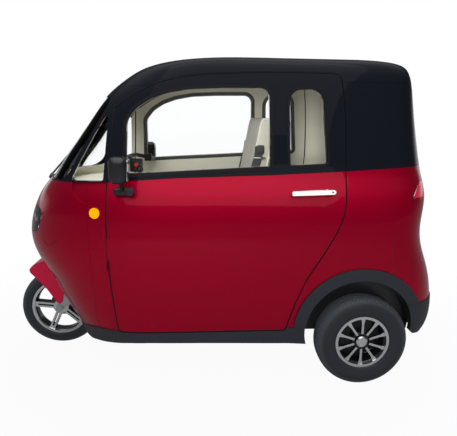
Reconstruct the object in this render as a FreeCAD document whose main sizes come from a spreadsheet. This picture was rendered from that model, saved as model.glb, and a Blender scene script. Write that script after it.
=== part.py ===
import FreeCAD, Part
import Sketcher
"""A small electric car with a cabin on three wheels, as separate pieces.

Front of the car towards -Y, its left side towards +X, Z up, the ground at Z zero.
Every length is in millimetres. The sizes worth changing are in SIZES, the outlines
of the panels in the tables below it.
"""
import math
import os
import re

from FreeCAD import Placement, Rotation, Vector

SIZES = {
    # walls, glass and the gaps between panels
    "wall_thickness": 30,
    "liner_thickness": 6,
    "glass_thickness": 5,
    "glass_depth": 8,
    "glass_fit": 0.3,
    "seam_gap": 0.8,
    "door_gap": 7,
    "hinge_x": 528,
    "hinge_y": -541,
    "hinge_height": 700,
    "hinge_lean_deg": 2.5,
    "hinge_radius": 5.5,
    "pin_radius": 2.5,
    "half_width_limit": 700,
    # the flares, the sills and what closes the bottom
    "flare_proud": 11,
    "sill_proud": 4,
    "arch_centre_y": 674,
    "arch_centre_height": 283,
    "arch_radius": 268,
    "flare_radius": 326,
    "housing_wall": 5,
    "wheel_room_radius": 242,
    "housing_inner_x": 405,
    "floor_height": 245,
    "floor_thickness": 25,
    "rear_floor_height": 420,
    "rail_x": 300,
    "tunnel_half_width": 196,
    "tunnel_height": 572,
    "tunnel_back_y": -640,
    "nose_bottom": 235,
    "liner_bottom": 395,
    "flare_bottom": 300,
    "bumper_top": 424,
    "handle_x": 532,
    "dimple_radius": 58,
    "carrier_face_y": 1106,
    # rear wheels
    "rear_axle_y": 692,
    "rear_wheel_x": 481,
    "rear_tyre_radius": 228,
    "rear_tyre_width": 122,
    "rear_rim_radius": 134,
    "rear_rim_width": 100,
    # front wheel
    "front_axle_y": -911,
    "front_tyre_radius": 221,
    "front_tyre_width": 84,
    "front_rim_radius": 160,
    "front_rim_width": 74,
    "rim_lip": 13,
    "rear_hub_radius": 46,
    "hub_cap_radius": 28,
    "spoke_width": 11,
    "rear_spoke_count": 10,
    "front_hub_radius": 47,
    "front_pair_count": 5,
    "bar_width": 11,
    "bar_spread": 10,
    "front_rim_turn_deg": 12,
    "disc_radius": 74,
    "drum_radius": 96,
    "tyre_fit": 0.3,
    # steering
    "rake_deg": 24,
    "axis_y": -887,
    "column_radius": 20,
    "column_length": 935,
    "crown_height": 258,
    "leg_x": 47,
    "leg_thickness": 12,
    "leg_length": 275,
    "guard_half_width": 66,
    "guard_thickness": 4,
    "bar_radius": 11,
    "grip_radius": 17,
    "grip_length": 105,
    "switch_box_size": 40,
    # axles, springs and bearings
    "axle_radius": 15,
    "axle_end": 30,
    "front_axle_radius": 8,
    "axle_tube_radius": 30,
    "axle_tube_end": 385,
    "drum_start": 412,
    "drum_width": 28,
    "gear_case_radius": 95,
    "motor_radius": 75,
    "axle_fit": 0.1,
    "spring_width": 44,
    # the seats and the battery
    "seat_width": 580,
    "cushion_rounding": 22,
    "battery_width": 520,
    "battery_length": 330,
    "battery_height": 200,
}

doc = FreeCAD.newDocument("three_wheeled_car")
sheet = doc.addObject("Spreadsheet::Sheet", "sizes")
for row, (name, value) in enumerate(SIZES.items(), start=1):
    sheet.set("A%d" % row, name)
    sheet.set("B%d" % row, str(value))
    sheet.setAlias("B%d" % row, name)
doc.recompute()


def size(name):
    return float(sheet.get(name))


# The cabin at a number of heights, seen from above: height, front end, rear end, half
# width, length of the round nose, length of the round tail, and how full the nose and
# the tail are, where 2 is an ellipse and more is squarer.
LEVELS = [
    (150, -741, 1010, 478, 400, 300, 2.2, 3.0),
    (225, -781, 1095, 496, 430, 300, 2.2, 3.0),
    (300, -825, 1128, 509, 470, 310, 2.2, 3.0),
    (400, -881, 1131, 523, 520, 320, 2.2, 3.0),
    (500, -933, 1116, 532, 570, 320, 2.2, 3.0),
    (600, -991, 1084, 538, 615, 310, 2.2, 3.0),
    (700, -1017, 1047, 540, 640, 300, 2.2, 3.0),
    (790, -1005, 1036, 538, 630, 300, 2.2, 3.0),
    (870, -973, 1044, 530, 600, 300, 2.3, 3.0),
    (940, -930, 1050, 514, 560, 300, 2.45, 3.0),
    (1000, -881, 1042, 491, 520, 290, 2.6, 3.0),
    (1060, -837, 1028, 468, 480, 280, 2.8, 3.0),
    (1150, -772, 1010, 454, 440, 270, 2.85, 3.0),
    (1280, -678, 987, 439, 410, 260, 2.85, 3.0),
    (1400, -585, 969, 426, 390, 255, 2.85, 3.0),
    (1480, -491, 956, 415, 375, 250, 2.8, 3.0),
    (1530, -410, 943, 400, 350, 245, 2.7, 2.9),
    (1560, -320, 920, 372, 325, 235, 2.6, 2.8),
    (1580, -195, 850, 315, 275, 200, 2.5, 2.6),
    (1591, -40, 740, 235, 200, 150, 2.4, 2.4),
    (1597, 130, 580, 150, 115, 90, 2.2, 2.2),
    (1600, 250, 460, 70, 54, 42, 2.2, 2.2),
]
ROUND_STARTS = 1480
ROUND_ENDS = 1580
NOSE_DEGREES = (0, 14, 28, 42, 56, 70)

# Outlines seen from the left: along the car, height, radius of the corner.
DOOR = [
    (-505, 276, 25), (-526, 498, 400), (-538, 711, 500), (-539, 915, 500), (-536, 1000, 300),
    (-526, 1100, 400), (-516, 1250, 400), (-508, 1345, 14), (-483, 1357, 14), (-417, 1404, 200),
    (-326, 1450, 300), (-222, 1481, 400), (-93, 1498, 500), (103, 1509, 500), (300, 1514, 500),
    (538, 1514, 42), (552, 1420, 60), (564, 1300, 400), (575, 1060, 400), (573, 940, 200),
    (563, 872, 200), (537, 795, 300), (474, 681, 300), (397, 551, 300), (347, 419, 300),
    (310, 283, 14),
]
BELT = [(-1200, 978), (-683, 1000), (-524, 1008), (-223, 1028), (229, 1045), (562, 1064), (904, 1087), (1300, 1100)]
DOOR_WINDOW = [
    (-448, 1045, 10), (-442, 1285, 50), (-400, 1338, 90), (-340, 1378, 150), (-262, 1407, 200),
    (-160, 1426, 250), (-14, 1434, 400), (205, 1438, 42), (217, 1084, 10),
]
REAR_DOOR_WINDOW = [(311, 1088, 10), (299, 1430, 55), (452, 1438, 60), (484, 1100, 10)]
QUARTER_WINDOW = [(-714, 1003, 12), (-552, 1011, 12), (-530, 1335, 12), (-600, 1220, 200), (-664, 1104, 200)]
# The windscreen and the rear window, seen from the front: across, height, radius.
WINDSCREEN = [(392, 1000, 45), (330, 1392, 60), (-330, 1392, 60), (-392, 1000, 45)]
REAR_WINDOW = [(330, 1130, 50), (318, 1430, 60), (-318, 1430, 60), (-330, 1130, 50)]


def level_points(level, depth):
    """The left half of one level of the cabin, moved in by depth, from front to rear."""
    z, front, rear, half, nose, tail, nose_full, tail_full = level
    rounding = max(0, min(1, (z - ROUND_STARTS) / (ROUND_ENDS - ROUND_STARTS)))
    slope = math.radians(90) * rounding ** 2
    half -= depth * math.cos(slope)
    start = front + depth * math.cos(slope) + nose
    end = rear - depth * math.cos(slope) - tail
    height = z - depth * math.sin(slope)
    points = []
    for degrees in NOSE_DEGREES:
        turn = math.radians(degrees)
        reach = nose * math.cos(turn) ** (2 / nose_full)
        points.append(Vector(half * math.sin(turn) ** (2 / nose_full), start - reach, height))
    for share in (0, 1 / 3, 2 / 3, 1):
        points.append(Vector(half, start + (end - start) * share, height))
    for degrees in reversed(NOSE_DEGREES):
        turn = math.radians(degrees)
        reach = tail * math.cos(turn) ** (2 / tail_full)
        points.append(Vector(half * math.sin(turn) ** (2 / tail_full), end + reach, height))
    return points


def ring_points(level, depth):
    """All of one level, from the front round the left side to the rear and back."""
    left = level_points(level, depth)
    return left + [Vector(-point.x, point.y, point.z) for point in reversed(left[1:-1])]


def shared_parameters():
    """How far round its outline each point lies, as a share, on average over the levels.

    Splines with the same parameters at every level make a light and even loft.
    """
    total = None
    for level in LEVELS:
        points = ring_points(level, 0)
        reached = [0.0]
        for a, b in zip(points, points[1:] + points[:1]):
            reached.append(reached[-1] + a.distanceToPoint(b))
        shares = [length / reached[-1] for length in reached]
        total = shares if total is None else [a + b for a, b in zip(total, shares)]
    return [share / len(LEVELS) for share in total]


PARAMETERS = shared_parameters()
REAR_PARAMETER = PARAMETERS[len(PARAMETERS) // 2]


def level_wire(level, depth):
    """One level as a smooth closed spline, parted at the front and at the rear."""
    ring = Part.BSplineCurve()
    ring.interpolate(Points=ring_points(level, depth), PeriodicFlag=True, Parameters=PARAMETERS)
    left = ring.copy()
    left.segment(PARAMETERS[0], REAR_PARAMETER)
    right = ring.copy()
    right.segment(REAR_PARAMETER, PARAMETERS[-1])
    return Part.Wire([left.toShape(), right.toShape()])


def cabin(depth):
    """The whole cabin as one solid, with its surface moved in by depth."""
    return Part.makeLoft([level_wire(level, depth) for level in LEVELS], True, False)


def rounded_wire(corners, inset=0, place=lambda u, v: Vector(0, u, v)):
    """A closed outline of straight lines and round corners, moved in by inset."""
    area = sum(a[0] * b[1] - b[0] * a[1] for a, b in zip(corners, corners[1:] + corners[:1]))
    if area < 0:
        corners = corners[::-1]
    count = len(corners)
    moved = []
    for i in range(count):
        before, here, after = corners[i - 1], corners[i], corners[(i + 1) % count]
        d1 = Vector(here[0] - before[0], here[1] - before[1], 0).normalize()
        d2 = Vector(after[0] - here[0], after[1] - here[1], 0).normalize()
        n1, n2 = Vector(-d1.y, d1.x, 0), Vector(-d2.y, d2.x, 0)
        spread = (n1 + n2) * (inset / (1 + n1.dot(n2)))
        left_turn = d1.cross(d2).z > 0
        radius = max(0, here[2] - inset) if left_turn else here[2] + inset
        moved.append((Vector(here[0], here[1], 0) + spread, radius, d1, d2))
    arcs = []
    for i in range(count):
        point, radius, d1, d2 = moved[i]
        angle = d1.getAngle(d2)
        longest = 0.48 * min((point - moved[i - 1][0]).Length, (moved[(i + 1) % count][0] - point).Length)
        tangent = min(radius * math.tan(angle / 2), longest)
        if tangent < 0.05 or angle < 0.002:
            arcs.append((point, None, point))
            continue
        radius = tangent / math.tan(angle / 2)
        middle = (d2 - d1).normalize()
        top = point + middle * (radius / math.cos(angle / 2) - radius)
        arcs.append((point - d1 * tangent, top, point + d2 * tangent))
    edges = []
    for i in range(count):
        start, top, end = [None if p is None else place(p.x, p.y) for p in arcs[i]]
        following = arcs[(i + 1) % count][0]
        following = place(following.x, following.y)
        if top is not None:
            edges.append(Part.Arc(start, top, end).toShape())
        edges.append(Part.makeLine(end, following))
    return Part.Wire(edges)


def across(corners, start, end, inset=0):
    """An outline seen from the left, made solid between two distances across the car."""
    wire = rounded_wire(corners, inset, lambda u, v: Vector(start, u, v))
    return Part.Face(wire).extrude(Vector(end - start, 0, 0))


def along(corners, start, end, inset=0):
    """An outline seen from the front, made solid between two distances along the car."""
    wire = rounded_wire(corners, inset, lambda u, v: Vector(u, start, v))
    return Part.Face(wire).extrude(Vector(0, end - start, 0))


def upward(corners, start, end, inset=0):
    """An outline seen from above, made solid between two heights."""
    wire = rounded_wire(corners, inset, lambda u, v: Vector(u, v, start))
    return Part.Face(wire).extrude(Vector(0, 0, end - start))


def block(x, y, z):
    """A box between two values on each axis."""
    return Part.makeBox(x[1] - x[0], y[1] - y[0], z[1] - z[0], Vector(x[0], y[0], z[0]))


def rod(start, end, radius):
    direction = Vector(*end) - Vector(*start)
    return Part.makeCylinder(radius, direction.Length, Vector(*start), direction)


def mirrored(shape):
    return shape.mirror(Vector(0, 0, 0), Vector(1, 0, 0))


def both_sides(shape):
    return Part.makeCompound(shape.Solids + mirrored(shape).Solids)


def solids_of(shape):
    """The shape without the slivers that a cut may leave."""
    whole = [solid for solid in shape.Solids if solid.Volume > 800]
    return whole[0] if len(whole) == 1 else Part.makeCompound(whole)


PIECES = {}


def keep(name, shape, place=(0, 0, 0)):
    """Adds a shape to the document as the sub-part of that name, at its place."""
    piece = doc.addObject("Part::Feature", name)
    piece.Label = name
    piece.Shape = solids_of(shape)
    piece.Placement = Placement(Vector(*place), Rotation())
    PIECES[name] = piece
    return piece


def slab(form, start, end):
    """What a solid cuts out of the cabin's wall between two depths."""
    return form.common(CABIN[start]).cut(CABIN[end])


def in_sheet(formula):
    """A formula with the names of the sheet's cells, as an object's property takes it."""
    return re.sub(r"[a-z]+(?:_[a-z]+)+", lambda found: "sizes." + found.group(0), formula)


def bind(obj, **formulas):
    """Ties properties to formulas. Two underscores in a name stand for a full stop."""
    for name, formula in formulas.items():
        obj.setExpression(name.replace("__", "."), in_sheet(formula))


def set_place(obj, x, y, z):
    bind(obj, Placement__Base__x=x, Placement__Base__y=y, Placement__Base__z=z)


def register(name, piece):
    """Takes an object of the document as the sub-part of that name."""
    piece.Label = name
    PIECES[name] = piece
    return piece


def cylinder(name, radius, length, x="0", y="0", z="0", lying=False):
    """A round bar from a point, upright or along the X axis."""
    piece = doc.addObject("Part::Cylinder", name)
    if lying:
        piece.Placement = Placement(Vector(0, 0, 0), Rotation(Vector(0, 1, 0), 90))
    bind(piece, Radius=radius, Height=length)
    set_place(piece, x, y, z)
    return piece


def box(name, x_size, y_size, z_size, x, y, z):
    piece = doc.addObject("Part::Box", name)
    bind(piece, Length=x_size, Width=y_size, Height=z_size)
    set_place(piece, x, y, z)
    return piece


def fused(name, parts):
    piece = doc.addObject("Part::MultiFuse", name)
    piece.Shapes = parts
    return piece


def together(name, parts):
    piece = doc.addObject("Part::Compound", name)
    piece.Links = parts
    return piece


def body_of(name):
    return doc.addObject("PartDesign::Body", name)


def outline(body, name, plane, corners, start="0"):
    """A closed outline on one of the body's own planes, moved off it by start."""
    sketch = body.newObject("Sketcher::SketchObject", body.Name + "_" + name)
    planes = {feature.Role: feature for feature in body.Origin.OriginFeatures}
    sketch.AttachmentSupport = [(planes[plane], "")]
    sketch.MapMode = "FlatFace"
    bind(sketch, AttachmentOffset__Base__z=start)
    points = []
    for u, v in corners:
        values = [sketch.evalExpression(in_sheet(formula)) for formula in (u, v)]
        points.append(Vector(*[float(getattr(value, "Value", value)) for value in values], 0))
    for i, point in enumerate(points):
        sketch.addGeometry(Part.LineSegment(point, points[(i + 1) % len(points)]), False)
    for i in range(len(points)):
        sketch.addConstraint(Sketcher.Constraint("Coincident", i, 2, (i + 1) % len(points), 1))
    for i, (point, corner) in enumerate(zip(points, corners)):
        for kind, value, formula in zip(("DistanceX", "DistanceY"), (point.x, point.y), corner):
            number = sketch.addConstraint(Sketcher.Constraint(kind, -1, 1, i, 1, value))
            sketch.setExpression("Constraints[%d]" % number, in_sheet(formula))
    return sketch


def pad(body, name, plane, corners, start, length):
    """An outline made solid from start, over a length."""
    feature = body.newObject("PartDesign::Pad", body.Name + "_" + name)
    feature.Profile = outline(body, name + "_outline", plane, corners, start)
    bind(feature, Length=length)
    return feature


def turn_round(body, name, corners, kind="Revolution"):
    """A section of distance across and radius, turned about the X axis."""
    feature = body.newObject("PartDesign::" + kind, body.Name + "_" + name)
    sketch = outline(body, name + "_section", "XZ_Plane", corners)
    feature.Profile = sketch
    feature.ReferenceAxis = (sketch, ["H_Axis"])
    feature.Angle = 360
    return feature


def bore(body, name, start, end, radius):
    turn_round(body, name, [(start, "0"), (start, radius), (end, radius), (end, "0")], "Groove")


def repeat(body, name, features, count):
    """Features again all round the X axis."""
    pattern = body.newObject("PartDesign::PolarPattern", body.Name + "_" + name)
    pattern.Originals = features
    pattern.Axis = (features[0].Profile[0], ["N_Axis"])
    pattern.Angle = 360
    bind(pattern, Occurrences=count)
    body.Tip = pattern


def round_edges(body, name, radius, chosen):
    """Rounds the circular edges of a body that the choice takes."""
    doc.recompute()
    tip = body.Tip
    edges = [
        "Edge%d" % number for number, edge in enumerate(tip.Shape.Edges, start=1)
        if isinstance(edge.Curve, Part.Circle) and chosen(edge)
    ]
    feature = body.newObject("PartDesign::Fillet", body.Name + "_" + name)
    feature.Base = (tip, edges)
    bind(feature, Radius=radius)


wall = size("wall_thickness")
skin = wall - size("liner_thickness")
gap = size("door_gap")
seam = size("seam_gap")
far = size("half_width_limit")
fit = size("glass_fit")
glass_out = size("glass_depth")
glass_in = glass_out + size("glass_thickness")
flare_out = -size("flare_proud")
sill_out = -size("sill_proud")

CABIN = {depth: cabin(depth) for depth in (flare_out, sill_out, -fit, 0, glass_out, glass_in, skin, skin + fit, wall)}

whole_belt = [(y, z, 200) for y, z in BELT]
above_belt = across(whole_belt + [(1300, 1900, 0), (-1200, 1900, 0)], -far, far, seam / 2)
below_belt = across(whole_belt + [(1300, 100, 0), (-1200, 100, 0)], -far, far, seam / 2)
door_form = across(DOOR, 200, far, gap)
door_hole = across(DOOR, -far, far)

arch_y, arch_z = size("arch_centre_y"), size("arch_centre_height")


def arch_rod(radius, start=200, end=far):
    return rod((start, arch_y, arch_z), (end, arch_y, arch_z), radius)


def wheel_arch(more, start):
    """The room of a rear wheel inside the car: the arch in the panel and the wheel's own."""
    hub = (size("rear_axle_y"), size("rear_tyre_radius"))
    wheel = rod((start, *hub), (far, *hub), size("wheel_room_radius") + more)
    return arch_rod(size("arch_radius") + more, start, far).fuse(wheel)


arch_holes = arch_rod(size("flare_radius") + seam, -far, far)
tunnel_x, tunnel_z = size("tunnel_half_width"), size("tunnel_height")
TUNNEL = [
    (-tunnel_x, 60, 0), (tunnel_x, 60, 0), (tunnel_x, tunnel_z - 110, 90), (tunnel_x - 80, tunnel_z, 60),
    (80 - tunnel_x, tunnel_z, 60), (-tunnel_x, tunnel_z - 110, 90),
]
tunnel_back = size("tunnel_back_y")
tunnel = along(TUNNEL, -1200, tunnel_back)

# Doors
window_holes = across(DOOR_WINDOW, 200, far).fuse(across(REAR_DOOR_WINDOW, 200, far))
door_panel = slab(door_form.common(below_belt), 0, skin)
door_frame = slab(door_form.common(above_belt).cut(window_holes), 0, skin)
door_card = slab(door_form.cut(window_holes), skin + fit, wall)
door_glass = Part.makeCompound([
    slab(across(DOOR_WINDOW, 200, far, fit), glass_out, glass_in),
    slab(across(REAR_DOOR_WINDOW, 200, far, fit), glass_out, glass_in),
])
HANDLE = [(311, 958, 6), (311, 978, 8), (420, 984, 4), (512, 986, 10), (512, 966, 10), (420, 962, 4)]
handle_x = size("handle_x")
dimple = size("dimple_radius")
handle = across(HANDLE, handle_x - 6, handle_x + 6)
handle = handle.fuse(rod((handle_x - 60, 330, 968), (handle_x, 330, 968), 7))
handle = handle.fuse(rod((handle_x - 60, 480, 975), (handle_x, 480, 975), 9))
handle = handle.cut(CABIN[-fit])
mirror_foot = across([(-485, 962, 14), (-402, 962, 14), (-402, 990, 14), (-485, 990, 14)], 480, 548)
mirror_arm = rod((535, -432, 980), (560, -440, 1030), 9)
mirror_head = upward([(545, -470, 20), (655, -452, 25), (655, -412, 20), (545, -430, 20)], 1021, 1134)
mirror = mirror_foot.fuse(mirror_arm).fuse(mirror_head).cut(CABIN[-fit])
# The hinge: a pin and two knuckles on the car, one knuckle on the door between them.
lean = math.radians(size("hinge_lean_deg"))
hinge_r, pin_r = size("hinge_radius"), size("pin_radius")
hinge_foot = Vector(size("hinge_x"), size("hinge_y"), size("hinge_height"))
HINGE_AXIS = Vector(-math.sin(lean), 0, math.cos(lean))


def hinge_rod(start, end, radius):
    return Part.makeCylinder(radius, end - start, hinge_foot + HINGE_AXIS * start, HINGE_AXIS)


def hinge_leaf(start, end, back):
    """A barrel from start to end along the hinge, with a leaf back into the panel."""
    barrel = hinge_rod(start, end, hinge_r)
    low, high = sorted((0, back))
    z = hinge_foot.z
    leaf = block((hinge_foot.x - 15, hinge_foot.x - 1), (hinge_foot.y + low, hinge_foot.y + high), (z + start, z + end))
    return barrel.fuse(leaf)


pin_room = size("axle_fit") / 2
leaf_room = block(
    (hinge_foot.x - 17, hinge_foot.x + 1), (hinge_foot.y - 3, hinge_foot.y + 14), (hinge_foot.z - 51, hinge_foot.z + 51),
)
door_knuckle = hinge_leaf(-49.5, 49.5, 12).cut(hinge_rod(-200, 200, pin_r + pin_room))
door_panel = door_panel.cut(hinge_rod(-101, -49, hinge_r + 1)).cut(hinge_rod(49, 101, hinge_r + 1)).fuse(door_knuckle)
door_panel = door_panel.cut(Part.makeSphere(dimple, Vector(handle_x + dimple - 14, 388, 961)))
for side, turn in (("left", lambda shape: shape), ("right", mirrored)):
    keep("door_panel_" + side, turn(door_panel))
    keep("door_frame_" + side, turn(door_frame))
    keep("door_card_" + side, turn(door_card))
    keep("door_glass_" + side, turn(door_glass))
    keep("door_handle_" + side, turn(handle))
    keep("door_mirror_" + side, turn(mirror))

# Fixed panels below the belt. Each is cut out as a plain form first, and then out of
# the cabin's wall.
NOSE_SEAM = [(-1200, 1100, 0), (-632, 1100, 0), (-626, 870, 300), (-611, 560, 300), (-606, 100, 0), (-1200, 100, 0)]
SILL = [
    (-760, 212, 8), (-716, 243, 30), (-683, 262, 60), (-652, 272, 80), (-612, 279, 100), (-528, 282, 60),
    (-480, 282, 30), (250, 299, 30), (430, 299, 0), (430, 205, 0), (330, 211, 60), (235, 212, 100),
    (-108, 219, 300), (-349, 222, 300), (-451, 219, 200), (-547, 207, 200), (-626, 195, 100), (-662, 182, 60),
    (-760, 172, 8),
]
BUMPER = [
    (700, 424, 0), (1300, 424, 0), (1300, 240, 0), (1040, 232, 30), (960, 252, 20), (900, 310, 0), (700, 310, 0),
]
CRESCENT = [
    (-708, 1100, 0), (-701, 967, 10), (-691, 942, 40), (-656, 917, 80), (-612, 903, 80), (-549, 897, 10),
    (-500, 897, 0), (-500, 1100, 0),
]
HEADLAMP = [(150, 700, 60), (330, 740, 50), (345, 850, 40), (190, 870, 50)]
TAIL_LAMP = [(897, 943, 10), (948, 1016, 14), (1150, 1016, 0), (1150, 943, 0)]
bottom = size("nose_bottom")
sill_hole = across(SILL, -far, far, -seam)
lamp_hole = along(HEADLAMP, -1200, -400)
tail_hole = across(TAIL_LAMP, 200, far)
nose = across(NOSE_SEAM, -far, far, seam / 2).common(block((-far, far), (-1200, 0), (bottom, 1100)))
nose = nose.common(below_belt).cut(tunnel).cut(sill_hole).cut(lamp_hole).cut(mirrored(lamp_hole))
scoops = both_sides(across(CRESCENT, 200, far).cut(CABIN[glass_out]))
keep("nose_panel", slab(nose, 0, skin).cut(scoops))
fender = block((200, far), (-640, -503), (bottom + 5, 1100)).cut(across(NOSE_SEAM, 0, far, -seam / 2))
fender = fender.common(below_belt).cut(door_hole).cut(sill_hole)
fender = slab(fender, 0, skin).cut(scoops).cut(hinge_rod(-51, 51, hinge_r + 1)).cut(leaf_room)
fender = fender.fuse(hinge_leaf(-100, -50, -12)).fuse(hinge_leaf(50, 100, -12)).fuse(hinge_rod(-100, 100, pin_r))
keep("front_fenders", both_sides(fender))
rear = block((-far, far), (250, 1200), (size("bumper_top") + seam, 1200)).common(below_belt).cut(door_hole)
rear = rear.cut(arch_holes).cut(sill_hole).cut(tail_hole).cut(mirrored(tail_hole))
keep("rear_body", slab(rear, 0, skin))
sill = across(SILL, tunnel_x, far).cut(arch_rod(size("arch_radius"))).cut(door_hole)
keep("sills", both_sides(slab(sill, sill_out, wall)))
flare_band = block((200, far), (0, arch_y), (size("flare_bottom"), 800))
flare_band = flare_band.fuse(block((200, far), (arch_y, 1200), (size("bumper_top") + seam, 800)))
flare = arch_rod(size("flare_radius")).cut(arch_rod(size("arch_radius"))).common(flare_band).cut(door_hole)
keep("arch_flares", both_sides(slab(flare, flare_out, wall)))
wheel_opening = wheel_arch(0, 200)
bumper = across(BUMPER, -far, far).cut(wheel_opening).cut(mirrored(wheel_opening))
keep("rear_bumper", slab(bumper, sill_out, skin))
keep("headlamps", both_sides(slab(along(HEADLAMP, -1200, -400, seam), 0, skin)))
keep("tail_lamps", both_sides(slab(across(TAIL_LAMP, 200, far, seam), 0, skin)))

# Fixed panels above the belt, and the glass in them
ROOF = [(-1200, 1440, 0), (-380, 1440, 60), (-150, 1473, 100), (1300, 1473, 0), (1300, 1900, 0), (-1200, 1900, 0)]
glass_holes = [along(WINDSCREEN, -1200, -250), along(REAR_WINDOW, 600, 1300), across(QUARTER_WINDOW, -far, far)]
keep("roof_panel", slab(across(ROOF, -far, far, seam / 2).cut(door_hole), 0, skin))
frame = above_belt.cut(across(ROOF, -far, far, -seam / 2)).cut(door_hole)
liner = block((-far, far), (-1200, 1200), (size("liner_bottom"), 1700)).cut(door_hole).cut(arch_holes).cut(tunnel)
for hole in glass_holes:
    frame = frame.cut(hole)
    liner = liner.cut(hole)
keep("cab_frame", slab(frame, 0, skin))
keep("cabin_liner", slab(liner, skin + fit, wall))
windscreen = slab(along(WINDSCREEN, -1200, -250, fit), glass_out, glass_in)
rear_pane = slab(along(REAR_WINDOW, 600, 1300, fit), glass_out, glass_in)
quarter_pane = slab(across(QUARTER_WINDOW, 200, far, fit), glass_out, glass_in)
keep("cabin_windows", Part.makeCompound([windscreen, rear_pane, quarter_pane, mirrored(quarter_pane)]))

# A flat blank plate carrier on the rear, where a number plate or a hook is screwed on.
carrier = block((-125, 125), (900, size("carrier_face_y")), (590, 710)).cut(CABIN[-fit])
keep("plate_carrier", carrier)

# Inside
well = along(TUNNEL, -1000, tunnel_back, fit).cut(along(TUNNEL, -1200, tunnel_back - 4, 4 + fit))
well = well.common(block((-far, far), (-1200, 0), (bottom, 900))).common(CABIN[glass_out])

# Steering frame: along its axis from the height of the axle, and square to it.
rake = math.radians(size("rake_deg"))
foot = Vector(0, size("axis_y"), size("front_tyre_radius"))
UP_AXIS = Vector(0, math.sin(rake), math.cos(rake))
AHEAD = Vector(0, -math.cos(rake), math.sin(rake))


def on_axis(along_axis, ahead=0, x=0):
    return foot + UP_AXIS * along_axis + AHEAD * ahead + Vector(x, 0, 0)


def axis_rod(start, end, radius, ahead=0, x=0):
    return Part.makeCylinder(radius, end - start, on_axis(start, ahead, x), UP_AXIS)


column_r = size("column_radius")
head_r = column_r + 9
bearing = size("axle_fit")
well = well.cut(axis_rod(200, 700, head_r))
head_tube = axis_rod(390, 560, head_r - fit).cut(axis_rod(300, 700, column_r + bearing))
well = Part.makeCompound([well, head_tube])
keep("front_wheel_well", well)

floor_z = size("floor_height")
floor_t = size("floor_thickness")
rear_z = size("rear_floor_height")
housing_x, housing_w = size("housing_inner_x"), size("housing_wall")


housing = wheel_arch(-fit, housing_x).cut(wheel_arch(-housing_w, housing_x + housing_w))
housing = housing.common(block((200, far), (0, 1200), (floor_z, 700))).common(CABIN[wall])
keep("wheel_housings", both_sides(housing))
arch_room = wheel_arch(fit, housing_x - fit)
FLOOR = [
    (-640, floor_z, 0), (430, floor_z, 0), (430, rear_z, 0), (1300, rear_z, 0), (1300, rear_z + floor_t, 0),
    (405, rear_z + floor_t, 0), (405, floor_z + floor_t, 0), (-640, floor_z + floor_t, 0),
]
inner_room = cabin(wall + fit)
floor = across(FLOOR, -far, far).common(inner_room).cut(along(TUNNEL, -1200, tunnel_back, -fit))
floor = floor.cut(arch_room).cut(mirrored(arch_room))
RAIL = [
    (-600, floor_z - 40, 10), (440, floor_z - 40, 30), (500, rear_z - 40, 30), (1060, rear_z - 40, 10),
    (1060, rear_z, 0), (430, rear_z, 0), (430, floor_z, 0), (-600, floor_z, 0),
]
for x in (-size("rail_x"), size("rail_x")):
    floor = floor.fuse(across(RAIL, x - 20, x + 20))
keep("floor_pan", floor)
battery = box("battery_block", "battery_width", "battery_length", "battery_height",
              "-battery_width / 2", "-180", "floor_height + floor_thickness + glass_fit")
register("battery_block", battery)

DASH = [(-1100, 835, 0), (-700, 835, 30), (-640, 915, 30), (-640, 958, 14), (-1100, 946, 0)]
dash = across(DASH, -far, far).common(inner_room)
keep("dashboard", dash)

SEAT_BASE = [(-260, 270.3, 10), (175, 270.3, 10), (165, 480, 20), (-290, 480, 20)]
SEAT_CUSHION = [(-330, 480.3, 40), (150, 480.3, 30), (150, 585, 30), (-320, 620, 55)]
SEAT_BACK = [(60, 592, 30), (150, 585.3, 20), (272, 1298, 24), (240, 1306, 24), (186, 1306, 30)]
seat_base = across(SEAT_BASE, -270, 270).cut(block((-262, 262), (-182, 152), (200, 472)))
cushion = across(SEAT_CUSHION, -290, 290)
back = across(SEAT_BACK, -285, 285)
keep("driver_seat", Part.makeCompound([seat_base, cushion, back]))
BENCH_BASE = [(500, rear_z + floor_t + fit, 0), (930, rear_z + floor_t + fit, 0), (930, 560, 20), (480, 560, 20)]
BENCH_CUSHION = [(470, 560.3, 30), (870, 560.3, 30), (880, 640, 30), (470, 660, 40)]
BENCH_BACK = [(880, 600, 20), (940, 600, 20), (960, 1080, 30), (900, 1080, 30)]
bench = [across(BENCH_BASE, -380, 380), across(BENCH_CUSHION, -392, 392), across(BENCH_BACK, -385, 385)]
keep("rear_bench", Part.makeCompound([part.common(inner_room).cut(arch_room).cut(mirrored(arch_room)) for part in bench]))

# The rear axle: a tube with a gear case, a motor, and at each end a brake drum and a pin
# for the wheel. It lies on the springs, which hang from the rails.
AXLE_PLACE = ("rear_axle_y", "rear_tyre_radius")
axle_parts = [
    cylinder("axle_tube", "axle_tube_radius", "2 * axle_tube_end", "-axle_tube_end", *AXLE_PLACE, lying=True),
    cylinder("axle_pins", "axle_radius", "2 * (rear_wheel_x + axle_end)", "-rear_wheel_x - axle_end",
             *AXLE_PLACE, lying=True),
    cylinder("gear_case", "gear_case_radius", "140", "-70", *AXLE_PLACE, lying=True),
    cylinder("motor", "motor_radius", "170", "60", "rear_axle_y - 60", "rear_tyre_radius + 20", lying=True),
]
for side, start in (("left", "drum_start"), ("right", "-drum_start - drum_width")):
    axle_parts.append(cylinder("drum_" + side, "drum_radius", "drum_width", start, *AXLE_PLACE, lying=True))
    middle = "rail_x" if side == "left" else "-rail_x"
    axle_parts.append(box("spring_pad_" + side, "spring_width", "70", "14", middle + " - spring_width / 2",
                          "rear_axle_y - 35", "rear_tyre_radius + axle_tube_radius - 8"))
register("rear_axle", fused("rear_axle", axle_parts))
LEAF_TOP = "rear_tyre_radius + axle_tube_radius + 6.3"
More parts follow.
